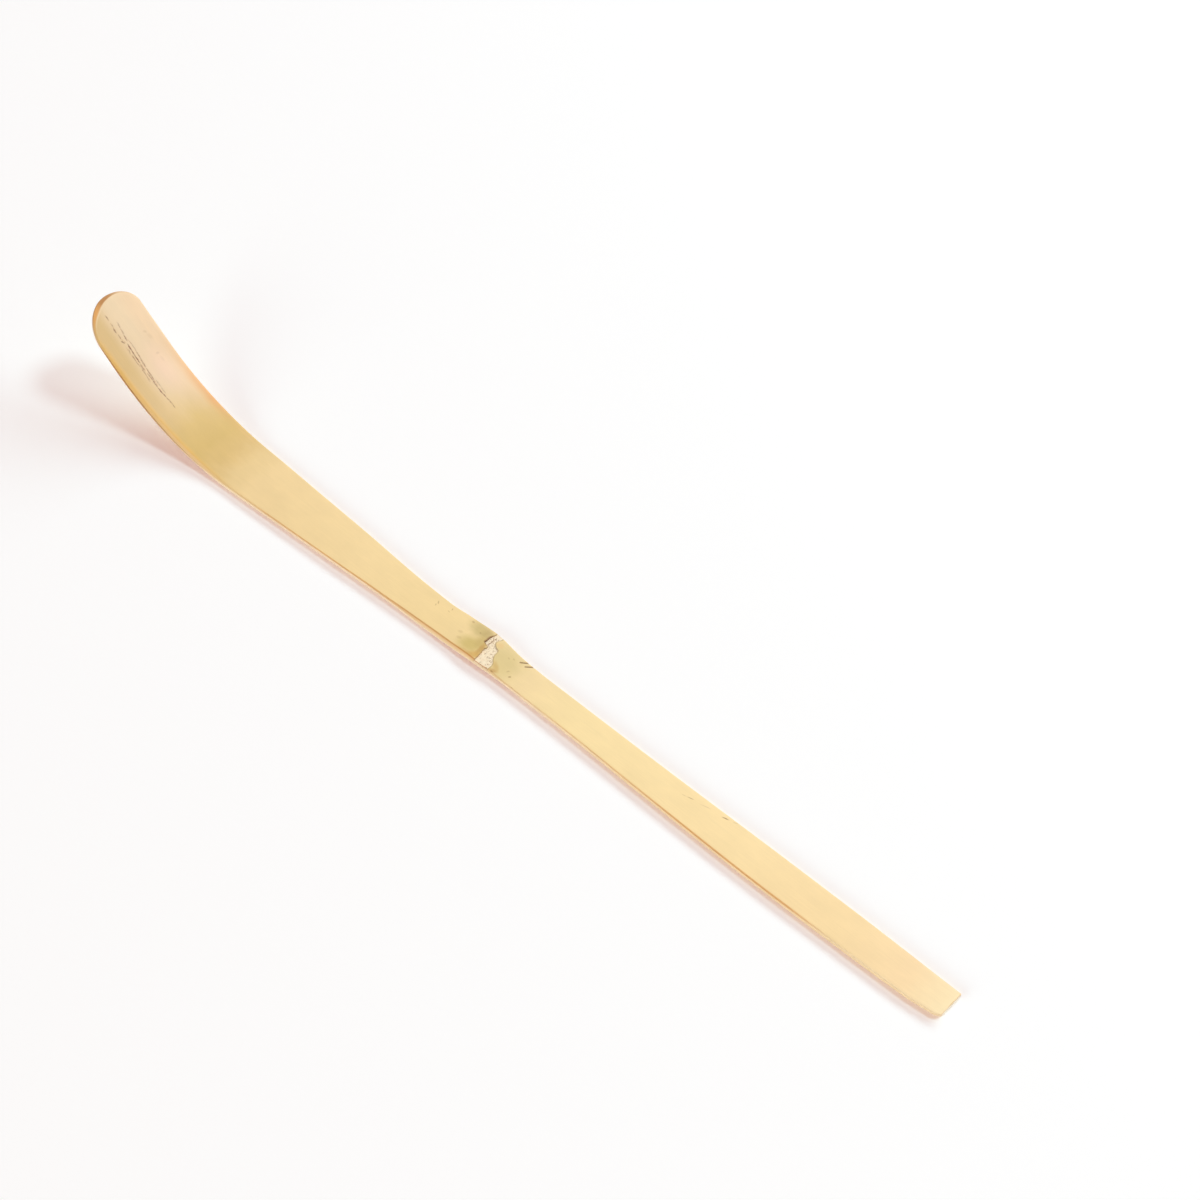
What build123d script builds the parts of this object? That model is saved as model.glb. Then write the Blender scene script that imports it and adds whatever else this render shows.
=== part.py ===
from build123d import *
import os
from math import cos, radians, sin

os.makedirs("parts", exist_ok=True)

# A tea scoop shaved from one strip of bamboo and bent with steam.
# X runs along the strip from the tip (-X) to the cut end (+X), Z is up, and Z = 0 is the table.
# The origin is the bottom centre of the whole strip. All lengths are in millimetres.

# Lengths along the strip
tip_length = 12.2        # straight run of the bowl past the bend, along its slope
bend_radius = 37.5       # radius of the upper face in the steamed bend
bend_angle = 40.0        # degrees that the bowl rises from the blade
blade_length = 47.9      # from the bend to the swollen joint
node_length = 11.0       # the swollen joint
handle_length = 88.7     # from the joint to the cut end

# Widths, measured from the centre line to each edge
bowl_half_width = 5.4    # widest place of the scoop
node_half_width = 3.0    # neck at the joint
grip_half_width = 3.2    # widest place of the handle

# Heights across the strip
strip_thickness = 1.2    # on the centre line of the level strip
tip_thickness = 0.75     # the nose is shaved thinner from below
culm_radius = 60.0       # the upper face is the round skin of the cane
node_swelling = 0.3      # how much the joint stands above the skin
node_arch = 0.35         # how far the underside is hollowed below the joint
lower_chamfer = 0.3      # knife cut along the two lower edges

# Nose of the bowl, two quarters of an ellipse that meet at the tip
far_round_length = 4.1   # along the slope, on the far side
near_round_length = 6.6  # along the slope, on the near side, which is cut rounder
apex_offset = 0.3        # from the centre line to the tip, towards the far side
tip_bevel = 0.5          # bevel on the nose's upper edge, along the slope and down
bevel_lean = 1.5         # its inner line turns this much further to the far side than the tip

# Planed ridge of the joint
scar_depth = 0.45        # depth of the cut into the joint
scar_step = 0.18         # the planed patch lies this much below the skin
scar_start = 5.3         # from the blade's end to the cut, on the centre line
scar_width = 2.5         # along the strip, on the centre line
scar_lean = 0.45         # the cut leans by this much from the centre line to an edge
scar_flare = 0.95        # and it widens by this much from the centre line to the near edge

# Knife facet along the near flank, ending at the cut in the joint
facet_width = 0.75       # seen from above, where it is widest
facet_height = 0.95      # down the flank, where it is widest

# Cut end of the handle
corner_cut_length = 1.9  # knife cut across the near corner
corner_cut_width = 1.1   # the same cut, measured across the strip

# Shares of the blade's length, then of the bowl's half width at the far and the near edge
blade_shares = [
    (0.0, 0.955, 0.945),
    (0.25, 0.845, 0.835),
    (0.5, 0.735, 0.725),
    (0.75, 0.6, 0.62),
    (0.9, 0.565, 0.6),
]
# Shares of the joint's length, then of its half width at the far and the near edge
node_shares = [
    (0.0, 1.13, 1.06),
    (0.4, 1.2, 1.0),
    (1.0, 1.0, 0.85),
]
# Shares of the handle's length, then of the grip's half width at the far and the near edge
handle_shares = [
    (0.13, 0.88, 0.8),
    (0.35, 0.9, 0.93),
    (0.6, 0.98, 1.03),
    (0.8, 1.01, 0.96),
    (1.0, 0.97, 0.85),
]
# Shares of the bend's angle, then of the bowl's half width at the far and the near edge
bend_shares = [
    (0.0, 0.955, 0.945),
    (0.25, 0.985, 0.98),
    (0.5, 1.0, 1.0),
    (0.75, 1.0, 1.0),
    (1.0, 1.0, 1.0),
]
# Shares of the tip's length, then of its thinning from the strip's thickness to the tip's
tip_shares = [
    (0.5, 0.4),
    (1.0, 1.0),
]
# Share of the joint's length at which it stands highest
ridge_share = 0.5

# Places that follow from the sizes above
bend_run = bend_radius * sin(radians(bend_angle))
tip_run = tip_length * cos(radians(bend_angle)) + tip_thickness * sin(radians(bend_angle))
overall_length = tip_run + bend_run + blade_length + node_length + handle_length
bend_x = tip_run + bend_run - overall_length / 2
node_x = bend_x + blade_length
handle_x = node_x + node_length
end_x = handle_x + handle_length
overrun = bowl_half_width


def edge_points(column):
    """Places along one edge of the level strip, as distances from its centre line."""
    points = []
    for start, length, half, rows in (
        (bend_x, blade_length, bowl_half_width, blade_shares),
        (node_x, node_length, node_half_width, node_shares),
        (handle_x, handle_length, grip_half_width, handle_shares),
    ):
        for row_shares in rows:
            points.append((start + row_shares[0] * length, row_shares[column] * half))
    return points


def level_outline():
    """Plan of the level strip, from the bend to the cut end."""
    far = edge_points(1)
    near = [(x, -width) for x, width in edge_points(2)]
    sides = [Spline(*far), Spline(*near), Line(far[0], near[0]), Line(far[-1], near[-1])]
    return make_face(sides)


def culm():
    """Round cane with the swollen joint, its skin level with the strip's upper face."""
    axis_z = strip_thickness - culm_radius
    start, blade_end = (bend_x, strip_thickness), (node_x, strip_thickness)
    handle_start, end = (handle_x, strip_thickness), (end_x, strip_thickness)
    ridge = (node_x + ridge_share * node_length, strip_thickness + node_swelling)
    skin = [
        Line(start, blade_end),
        Spline(blade_end, ridge, handle_start, tangents=[(1, 0), (1, 0)]),
        Line(handle_start, end),
        Polyline(end, (end_x, axis_z), (bend_x, axis_z), start),
    ]
    profile = Plane.XZ * make_face(skin)
    return revolve(profile, Axis((0, 0, axis_z), (1, 0, 0)))


def arch():
    """Shallow round hollow across the underside, centred on the joint and twice as long."""
    radius = (node_length * node_length + node_arch * node_arch) / (2 * node_arch)
    middle = Pos(node_x + ridge_share * node_length, 0, node_arch - radius)
    return middle * Rot(90, 0, 0) * Cylinder(radius, 4 * overrun)


def near_facet():
    """Flat knife cut that takes the near upper edge off, wider and wider up to the joint."""
    along, _, near = blade_shares[3]
    outer = node_half_width * node_shares[0][2]
    facet_end = node_x + scar_start
    toe = Vector(bend_x + along * blade_length, -near * bowl_half_width, strip_thickness)
    upper = Vector(facet_end, facet_width - outer, strip_thickness)
    lower = Vector(facet_end, -outer, strip_thickness - facet_height)
    normal = (lower - toe).cross(upper - toe)
    cut = Plane(origin=toe, x_dir=upper - toe, z_dir=normal)
    reach = (upper - toe).length
    return cut * Box(reach, 2 * overrun, overrun, align=(Align.MIN, Align.CENTER, Align.MIN))


def level_strip():
    """The strip from the bend to the cut end, before it is parted at the joint."""
    blank = extrude(level_outline(), amount=strip_thickness + node_swelling)
    blank = chamfer(blank.faces().sort_by(Axis.Z)[0].edges(), lower_chamfer)
    return (blank & culm()) - arch() - near_facet() - end_corner()


def end_corner():
    """Knife cut across the near corner of the cut end."""
    edge = grip_half_width * handle_shares[-1][2]
    corner = Polyline(
        (end_x - corner_cut_length, -edge),
        (end_x, corner_cut_width - edge),
        (end_x + overrun, corner_cut_width - edge),
        (end_x + overrun, -edge - overrun),
        (end_x - corner_cut_length, -edge - overrun),
        close=True,
    )
    return extrude(make_face(corner), amount=overrun, both=True)


def scar_band(bottom, top):
    """The skewed band across the joint where its ridge is planed off."""
    reach = 2 * node_half_width
    lean = 2 * scar_lean
    flare = 2 * scar_flare
    start = node_x + scar_start
    stop = start + scar_width
    outline = Polyline(
        (start + lean, -reach),
        (stop + lean + flare, -reach),
        (stop - lean - flare, reach),
        (start - lean, reach),
        close=True,
    )
    return Pos(0, 0, bottom) * extrude(make_face(outline), amount=top - bottom)


def bend_place(angle, beyond=0):
    """Plane across the strip in the bend, and beyond it along the slope of the bowl."""
    turn = radians(angle)
    x = bend_x - bend_radius * sin(turn) - beyond * cos(turn)
    z = strip_thickness + bend_radius * (1 - cos(turn)) + beyond * sin(turn)
    return Plane(origin=(x, 0, z), x_dir=(0, 1, 0), z_dir=(cos(turn), 0, -sin(turn)))


def skin_drop(across):
    """How far the round skin lies below the strip's centre line at this distance from it."""
    return culm_radius - (culm_radius * culm_radius - across * across) ** 0.5


def section(place, far, near, thickness):
    """Cross-section of the bowl, with the round skin above and two knife cuts below."""
    far_top = (far, -skin_drop(far))
    near_top = (-near, -skin_drop(near))
    skin = ThreePointArc(far_top, (0, 0), near_top)
    sides = Polyline(
        near_top,
        (-near, lower_chamfer - thickness),
        (lower_chamfer - near, -thickness),
        (far - lower_chamfer, -thickness),
        (far, lower_chamfer - thickness),
        far_top,
    )
    return place * make_face([skin, sides])


def nose_outline(inset, lean):
    """Rounded end of the bowl seen square on, with its tip drawn in and moved to the far side."""
    tip_y = apex_offset + lean
    far_start = (far_round_length - tip_length, tip_y)
    near_start = (near_round_length - tip_length, tip_y)
    far_arc = EllipticalCenterArc(far_start, far_round_length - inset, bowl_half_width - tip_y, 90)
    near_arc = EllipticalCenterArc(near_start, near_round_length - inset, bowl_half_width + tip_y, 180)
    back = Polyline(far_arc @ 0, (overrun, bowl_half_width), (overrun, -bowl_half_width), near_arc @ 1)
    return make_face([far_arc, near_arc, back])


def nose():
    """Everything inside the nose's outline and under its bevel, on the bowl's slope."""
    outline = nose_outline(0, 0)
    foot = Pos(0, 0, -tip_bevel) * outline
    crest = Pos(0, 0, tip_bevel) * nose_outline(2 * tip_bevel, 2 * bevel_lean)
    under_bevel = extrude(foot, amount=-overrun) + loft([foot, crest])
    return extrude(outline, amount=overrun, both=True) & under_bevel


def scoop_bowl():
    """Steamed bend and straight slope of the bowl, rounded and bevelled at the tip."""
    faces = []
    for share, far, near in bend_shares:
        place = bend_place(share * bend_angle)
        faces.append(section(place, far * bowl_half_width, near * bowl_half_width, strip_thickness))
    for share, thinning in tip_shares:
        place = bend_place(bend_angle, share * tip_length)
        thickness = strip_thickness - thinning * (strip_thickness - tip_thickness)
        faces.append(section(place, bowl_half_width, bowl_half_width, thickness))
    end_block = Box(
        tip_length + overrun, 4 * overrun, 2 * overrun,
        align=(Align.MAX, Align.CENTER, Align.CENTER),
    )
    waste = Pos(near_round_length - tip_length, 0, 0) * end_block - nose()
    slope = Location(bend_place(bend_angle).origin, (0, bend_angle, 0))
    return loft(faces) - slope * waste


def between(solid, start, stop):
    """The stretch of the strip between two places along it."""
    slab = Box(stop - start, 4 * overrun, 4 * overrun, align=(Align.MIN, Align.CENTER, Align.CENTER))
    return solid & (Pos(start, 0, 0) * slab)


strip = level_strip()
joint = between(strip, node_x, handle_x)
joint_top = strip_thickness + node_swelling

parts = {
    "scoop_bowl": scoop_bowl(),
    "blade": between(strip, bend_x, node_x),
    "growth_node": joint - scar_band(joint_top - scar_depth, joint_top + overrun),
    "node_scar": joint & scar_band(joint_top - scar_depth, joint_top - scar_step),
    "handle": between(strip, handle_x, end_x),
}

for name, shape in parts.items():
    export_step(shape, f"parts/{name}.step")
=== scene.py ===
import random
from math import cos, pi, radians, sin, sqrt

import bmesh
import bpy
from mathutils import Matrix, Vector, noise


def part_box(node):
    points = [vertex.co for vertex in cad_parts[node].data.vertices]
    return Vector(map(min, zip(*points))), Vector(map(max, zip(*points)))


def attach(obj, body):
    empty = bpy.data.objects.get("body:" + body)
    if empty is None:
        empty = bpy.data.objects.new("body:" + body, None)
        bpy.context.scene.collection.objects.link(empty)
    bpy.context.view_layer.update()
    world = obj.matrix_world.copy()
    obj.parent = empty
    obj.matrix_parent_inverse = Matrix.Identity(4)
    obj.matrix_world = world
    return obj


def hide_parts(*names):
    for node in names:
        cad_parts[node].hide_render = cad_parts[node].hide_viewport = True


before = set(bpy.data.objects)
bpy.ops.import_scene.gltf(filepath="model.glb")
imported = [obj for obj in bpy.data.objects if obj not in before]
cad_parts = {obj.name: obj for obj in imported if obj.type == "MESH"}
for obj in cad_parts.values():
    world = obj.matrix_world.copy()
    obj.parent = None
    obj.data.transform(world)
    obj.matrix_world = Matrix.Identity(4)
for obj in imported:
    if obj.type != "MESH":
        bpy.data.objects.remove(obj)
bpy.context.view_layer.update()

# A tea scoop shaved from one strip of bamboo. Lengths are in millimetres until lift() gives metres.
# A place on the strip is its run along it, its distance across and its depth under the skin.
# The run is X on the level strip, and is measured along the upper face in the bend and the bowl.
MM = 0.001

bend_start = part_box("blade")[0].x / MM
node_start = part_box("growth_node")[0].x / MM
handle_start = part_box("handle")[0].x / MM
cut_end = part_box("handle")[1].x / MM

strip_thickness = 1.2
tip_thickness = 0.75
tip_length = 12.2
tip_easing = 1.3
culm_radius = 60.0
bend_radius = 37.5
bend_turn = radians(40.0)
slope_start = bend_start - bend_radius * bend_turn
lower_chamfer = 0.3
sole_rounding = 0.12
knife_wave = 0.008

# End of the handle, whose edges are eased and whose near side is drawn in to a cut corner
end_ease = 0.16
end_inset = 0.03
end_chamfer = 0.75
taper_length = 5.5
taper_slope = 0.09
corner_length = 1.0
corner_slope = 0.4

# Half widths at the far edge and at the foot of the near side, as (run, width)
bowl_half_width = 5.38
far_edge = [
    (-100.0, 5.38), (-69.9, 5.38), (-63.4, 5.3), (-56.8, 5.14), (-44.9, 4.55), (-32.9, 3.96),
    (-20.9, 3.22), (-13.7, 3.05), (-8.9, 3.42), (-4.5, 3.6), (2.1, 3.0), (13.6, 2.82),
    (33.1, 2.88), (55.3, 3.14), (73.0, 3.23), (90.8, 3.1),
]
near_edge = [
    (-100.0, 5.38), (-69.9, 5.38), (-63.4, 5.28), (-56.8, 5.1), (-44.9, 4.5), (-32.9, 3.91),
    (-20.9, 3.34), (-13.7, 3.22), (-8.9, 3.12), (-4.5, 2.96), (2.1, 2.6), (13.6, 2.58),
    (33.1, 2.98), (55.3, 3.28), (73.0, 3.07), (90.8, 2.74),
]
# Both upper edges are cut back: (run, width of the cut, its depth)
near_cut = [
    (-100.0, 0.3, 0.22), (-88.0, 0.32, 0.24), (-82.0, 0.48, 0.28), (-74.0, 0.6, 0.32),
    (-66.0, 0.5, 0.3), (-58.0, 0.28, 0.22), (-50.0, 0.14, 0.16), (-23.0, 0.12, 0.18),
    (-18.0, 0.26, 0.36), (-13.4, 0.4, 0.48), (-8.9, 0.48, 0.55), (-5.5, 0.44, 0.52),
    (-3.6, 0.3, 0.48), (-0.3, 0.27, 0.36), (3.0, 0.14, 0.24), (12.0, 0.12, 0.16), (68.0, 0.13, 0.15),
    (80.0, 0.16, 0.08), (90.8, 0.2, 0.08),
]
far_cut = [(-100.0, 0.16, 0.14), (-84.0, 0.2, 0.18), (-60.0, 0.14, 0.14), (90.8, 0.1, 0.12)]

# Rise of the joint over the skin, as (run, rise), and the hollow below it
swelling = [
    (-100.0, 0.0), (-10.0, 0.0), (-7.2, 0.05), (-5.4, 0.17), (-3.9, 0.29), (-1.2, 0.24),
    (0.6, 0.12), (2.6, 0.03), (5.0, 0.0), (90.8, 0.0),
]
hollow_rise = 0.34
hollow_middle = (node_start + handle_start) / 2
hollow_reach = 11.0

# Planed scar of the joint: its left and right border as (distance across, run)
scar_left = [
    (-6.0, -3.1), (-2.36, -3.1), (-1.12, -3.2), (0.01, -3.4), (0.68, -3.42), (0.82, -3.9),
    (1.5, -4.14), (2.2, -4.16), (2.56, -4.08), (3.17, -3.9), (6.0, -3.85),
]
scar_right = [
    (-6.0, -0.3), (-2.37, -0.36), (-1.83, -0.33), (-1.01, -0.56), (-0.51, -1.0), (0.12, -1.3),
    (0.82, -1.41), (1.29, -1.64), (1.45, -2.1), (1.79, -2.6), (2.14, -2.84), (2.54, -2.74),
    (3.12, -2.55), (6.0, -2.5),
]
# Heights over the crown's centre line: the floor under the patch, its low left and its high right side,
# and how far fibres and crumbs stand up on it
scar_floor = -0.14
scar_low = 0.03
scar_high = 0.13
scar_fibre_height = 0.03
scar_crumb_height = 0.025
# Dark torn edge of the skin round the scar: how much wider it is along the left border, as (distance
# across, share), then its width there without that, what the share adds, and its width at the right
torn_hook = [(-1.0, 0.0), (0.5, 0.1), (1.0, 1.0), (2.5, 0.9), (2.9, 0.2), (3.4, 0.0)]
torn_left = 0.17
torn_left_more = 0.2
torn_right = 0.22
# The torn flake beside the far half of the left border: first and last place across, and its size
flake_start = 0.85
flake_end = 2.8
flake_width = 0.5
flake_height = 0.09
# Shares of its width: its crest, how far it reaches from there, and the dark groove beyond it
flake_crest = 0.55
flake_reach = 0.6
groove_place = 1.35
groove_width = 0.14
groove_dark = 0.9
# Pores of the scar: the ranges of their places across it and from left to right, and of their radius
pore_seed = 5
pore_count = 64
pore_across = (-2.7, 2.8)
pore_share = (0.1, 0.92)
pore_radius = (0.07, 0.12)
pore_depth = 0.05
pore_dark = 0.75

# Two knife slits beside the joint, from one end to the other
slits = [((2.46, 2.05), (3.66, 2.93)), ((3.6, 1.98), (4.75, 2.92))]
slit_width = 0.13
slit_depth = 0.12
slit_zone = 3.8

# Where the dark marks of the skin have faded out: the depth, and the band beside the planed patch
mark_depth = 0.4
mark_band = 0.5

# Nose of the bowl, two quarters of an ellipse
far_round_length = 4.1
near_round_length = 6.6
apex_offset = 0.3
# Bevel on the nose: (turn in degrees from near to far, width, depth, how burnt it is)
nose_bevel = [
    (-90.0, 0.26, 0.2, 0.0), (-72.0, 0.26, 0.2, 0.15), (-60.0, 0.34, 0.22, 0.5),
    (-50.0, 0.46, 0.24, 0.8), (-40.0, 0.62, 0.26, 1.0), (-30.0, 0.76, 0.3, 1.0),
    (-18.0, 0.76, 0.38, 1.0), (-5.0, 0.66, 0.44, 1.0), (8.0, 0.5, 0.44, 0.95),
    (20.0, 0.36, 0.32, 0.7), (32.0, 0.28, 0.24, 0.3), (50.0, 0.24, 0.18, 0.1),
    (90.0, 0.18, 0.14, 0.0),
]

# How finely the strip is divided across and along
top_columns = 40
floor_columns = 6
corner_steps = 3
scar_columns = 54
nose_rays = 72
slope_rings = 18
bend_rings = 70
blade_rings = 110
node_rings_left = 44
node_rings_right = 30
border_rings = 9
border_reach = 0.5
scar_floor_rings = 6
scar_rings = 44
slit_rings = 60
handle_rings = 120
taper_rings = 44

# Bands of the rim: 0 on top, 1 at the foot of the upper cut, 2 on the floor, 3 on the end grain
end_band = 3.0


def smooth(points, place, column=1):
    """Value at a place of a smooth curve through given points."""
    last = len(points) - 1
    at = 0
    while at < last - 1 and place > points[at + 1][0]:
        at += 1
    (x0, y0), (x1, y1) = ((points[i][0], points[i][column]) for i in (at, at + 1))
    gap = x1 - x0
    share = min(max((place - x0) / gap, 0.0), 1.0)

    def tangent(i):
        if i in (0, last):
            return 0.0
        before = points[i][0] - points[i - 1][0]
        after = points[i + 1][0] - points[i][0]
        rise = (points[i][column] - points[i - 1][column]) / before
        fall = (points[i + 1][column] - points[i][column]) / after
        if rise * fall <= 0:
            return 0.0
        return (rise * after + fall * before) / (before + after)

    square, cube = share * share, share ** 3
    return (
        y0 * (2 * cube - 3 * square + 1)
        + gap * tangent(at) * (cube - 2 * square + share)
        + y1 * (3 * square - 2 * cube)
        + gap * tangent(at + 1) * (cube - square)
    )


def skin_drop(across):
    return culm_radius - sqrt(culm_radius * culm_radius - across * across)


def thickness_at(run):
    share = min(max((slope_start - run) / tip_length, 0.0), 1.0)
    return strip_thickness - (strip_thickness - tip_thickness) * share ** tip_easing


def hollow_at(run):
    offset = (run - hollow_middle) / hollow_reach
    return hollow_rise * max(1 - offset * offset, 0.0)


def lift(run, across, level):
    """Point of the part's frame, in metres, for a place on the strip laid straight."""
    arc = max(bend_start - run, 0.0)
    turn = min(arc / bend_radius, bend_turn)
    beyond = max(arc - bend_radius * bend_turn, 0.0)
    x = max(run, bend_start) - bend_radius * sin(turn) - beyond * cos(turn)
    z = strip_thickness + bend_radius * (1 - cos(turn)) + beyond * sin(turn)
    return Vector((x + level * sin(turn), across, z + level * cos(turn))) * MM


def closeness(distance, width):
    """1 on a line, and 0 from this far away."""
    return max(1 - abs(distance) / width, 0.0)


def slit_at(run, across):
    """How deep into a knife slit a place is, from 0 to 1."""
    deepest = 0.0
    if not handle_start < run < handle_start + slit_zone:
        return deepest
    for start, stop in slits:
        start, stop, place = Vector(start), Vector(stop), Vector((run, across))
        span = stop - start
        share = min(max((place - start).dot(span) / span.length_squared, 0.0), 1.0)
        away = (place - start - span * share).length
        deepest = max(deepest, 1 - (away / slit_width) ** 2)
    return deepest


def torn_at(run, across):
    """How dark the skin's torn edge is at a place beside the scar, from 0 to 1."""
    hook = smooth(torn_hook, across)
    left = closeness(run - smooth(scar_left, across), torn_left + torn_left_more * hook)
    right = closeness(run - smooth(scar_right, across), torn_right)
    spots = 0.45 + 0.6 * noise.noise(Vector((across * 1.7, 4.0, 0.0)))
    return max(left * (0.5 + 0.5 * min(hook, 1.0)), right * spots)


def mark_at(run, across):
    """The dark mark that a place on the skin bears, from 0 to 1."""
    if node_start < run < handle_start:
        return torn_at(run, across)
    return slit_at(run, across)


def waves(run, across, along_pace, across_pace, layer):
    """Noise between -1 and 1 with this many waves in a millimetre along and across the strip."""
    return noise.noise(Vector((run * along_pace, across * across_pace, layer)))


def unevenness(run, across):
    """Shallow waves that the knife left in the skin."""
    return knife_wave * (1 + waves(run, across, 0.14, 0.45, 2.0))


def level_at(run, across, depth):
    """Height over the crown's centre line of a point this deep in the strip."""
    share = depth / thickness_at(run)
    upper = smooth(swelling, run) - skin_drop(across) - unevenness(run, across)
    upper -= slit_depth * slit_at(run, across)
    return upper * (1 - share) + hollow_at(run) * share - depth


def rounded(before, corner, after, radius):
    """Points of the corner's rounding, which takes less than half of the side before and after it."""
    most = 0.45
    back, ahead = before - corner, after - corner
    radius = min(radius, back.length * most, ahead.length * most)
    start = corner + back.normalized() * radius
    stop = corner + ahead.normalized() * radius
    points = []
    for i in range(corner_steps + 1):
        share = i / corner_steps
        points.append(start.lerp(corner, share).lerp(corner.lerp(stop, share), share))
    return points


def half_profile(reach, cut_width, cut_depth, thick, shrink=0.0, chamfer=lower_chamfer):
    """Half a cross-section as (distance from the middle, depth), from the crown to the floor."""
    reach -= shrink
    edge = Vector((reach - cut_width, shrink))
    foot = Vector((reach, cut_depth + shrink))
    wall = Vector((reach, thick - chamfer - shrink))
    sole = Vector((reach - chamfer, thick - shrink))
    crown, floor = Vector((0, shrink)), Vector((0, thick - shrink))
    softness, widest, deepest = 0.6, 0.3, 0.4
    corners = (
        rounded(crown, edge, foot, min(cut_width, widest) * softness)
        + rounded(edge, foot, wall, min(cut_depth, deepest) * softness)
        + rounded(foot, wall, sole, sole_rounding)
        + rounded(wall, sole, floor, sole_rounding)
    )
    top = [crown.lerp(corners[0], i / top_columns) for i in range(top_columns)]
    bottom = [corners[-1].lerp(floor, (i + 1) / floor_columns) for i in range(floor_columns)]
    return top + corners + bottom


def end_shrink(run):
    """How far the edges of the cut end are eased."""
    into = max(run - (cut_end - end_ease), 0.0)
    return end_ease - sqrt(max(end_ease * end_ease - into * into, 0.0))


def near_reach(run):
    """Half width at the foot of the near side, drawn in towards the cut corner of the handle's end."""
    drawn_in = max(run - (cut_end - taper_length), 0.0) * taper_slope
    corner = max(run - (cut_end - corner_length), 0.0) * corner_slope
    return smooth(near_edge, run) - drawn_in - corner


def near_chamfer(run):
    """Width of the cut along the lower near edge, which the knife widened towards the handle's end."""
    share = min(max(1 - (cut_end - run) / (2 * taper_length), 0.0), 1.0)
    return lower_chamfer + (end_chamfer - lower_chamfer) * share


def rim_of(reach, out, depth, cut_width, cut_depth, thick):
    """Distance in from the upper edge, and the band."""
    inward = reach - cut_width - out
    if depth <= cut_depth:
        return inward, depth / cut_depth
    return inward - (depth - cut_depth), 1 + (depth - cut_depth) / (thick - cut_depth)


def half_ring(line, side, cut_level=None):
    """Half a cross-section as places on the strip. line gives the run at a distance across."""
    middle = line(0.0)
    if side < 0:
        reach = near_reach(line(-smooth(near_edge, middle)))
        cut_width = smooth(near_cut, middle, 1)
        cut_depth = smooth(near_cut, middle, 2)
        chamfer = near_chamfer(middle)
    else:
        reach = smooth(far_edge, line(smooth(far_edge, middle)))
        cut_width = smooth(far_cut, middle, 1)
        cut_depth = smooth(far_cut, middle, 2)
        chamfer = lower_chamfer
    thick = thickness_at(middle)
    profile = half_profile(reach, cut_width, cut_depth, thick, end_shrink(middle), chamfer)
    ring = []
    for out, depth in profile:
        across = side * out
        run = line(across)
        level = level_at(run, across, depth)
        mark = mark_at(run, across) * closeness(depth, mark_depth)
        inward, band = rim_of(reach, out, depth, cut_width, cut_depth, thick)
        if cut_level is not None and level > cut_level:
            level, mark = cut_level, closeness(band, mark_band)
        ring.append((run, across, level, depth, inward, band, mark))
    return ring


def border(points):
    return lambda across: smooth(points, across)


def straight(run):
    return lambda across: run


def beside(line, distance):
    return lambda across: line(across) + distance


def blended(first, second, share):
    return lambda across: first(across) * (1 - share) + second(across) * share


def spaced(first, second, count):
    """Lines that pass evenly from one line across the strip to another."""
    return [blended(first, second, i / count) for i in range(count + 1)]


def rings_on(lines, cut_level=None):
    return [(half_ring(line, -1, cut_level), half_ring(line, 1, cut_level)) for line in lines]


class Body:
    """A closed mesh built of rings, which remembers where on the strip each vertex lies."""

    def __init__(self, name):
        self.name = name
        self.mesh = bmesh.new()
        self.strip = self.mesh.verts.layers.float_vector.new("strip")
        self.rim = self.mesh.verts.layers.float_vector.new("rim")

    def vertex(self, place):
        run, across, level, depth, inward, band, mark = place
        vertex = self.mesh.verts.new(lift(run, across, level))
        vertex[self.strip] = (run, across, depth)
        vertex[self.rim] = (inward, band, mark)
        return vertex

    def ring(self, halves):
        near, far = halves
        near_side = [self.vertex(place) for place in near]
        far_side = [self.vertex(place) for place in far[1:-1]]
        return near_side, [near_side[0]] + far_side + [near_side[-1]]

    def loft(self, halves):
        rings = [self.ring(pair) for pair in halves]
        for (near_a, far_a), (near_b, far_b) in zip(rings, rings[1:]):
            self.skin(near_a, near_b)
            self.skin(far_b, far_a)
        return rings

    def skin(self, first, second):
        for i in range(len(first) - 1):
            corners = [first[i], second[i], second[i + 1], first[i + 1]]
            unique = list(dict.fromkeys(corners))
            if len(unique) > 2:
                self.mesh.faces.new(unique)

    def cap(self, ring):
        near, far = ring
        self.mesh.faces.new(near + far[-2:0:-1])

    def finish(self, slot, material, node):
        merge_distance, crease = 0.0001 * MM, radians(40)
        bmesh.ops.remove_doubles(self.mesh, verts=self.mesh.verts, dist=merge_distance)
        bmesh.ops.recalc_face_normals(self.mesh, faces=self.mesh.faces)
        for face in self.mesh.faces:
            face.smooth = True
        for edge in self.mesh.edges:
            edge.smooth = edge.is_manifold and edge.calc_face_angle() < crease
        data = bpy.data.meshes.new(self.name)
        self.mesh.to_mesh(data)
        self.mesh.free()
        piece = bpy.data.objects.new(self.name, data)
        bpy.context.scene.collection.objects.link(piece)
        data.materials.append(material)
        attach(piece, "root")
        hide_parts(node)


def nose_place(turn):
    """Point of the nose's outline at a turn from -90 degrees, near, to 90 degrees, far."""
    length = far_round_length if turn > 0 else near_round_length
    reach = bowl_half_width - apex_offset if turn > 0 else bowl_half_width + apex_offset
    run = slope_start - tip_length + length - length * cos(turn)
    return Vector((run, apex_offset + reach * sin(turn)))


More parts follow.
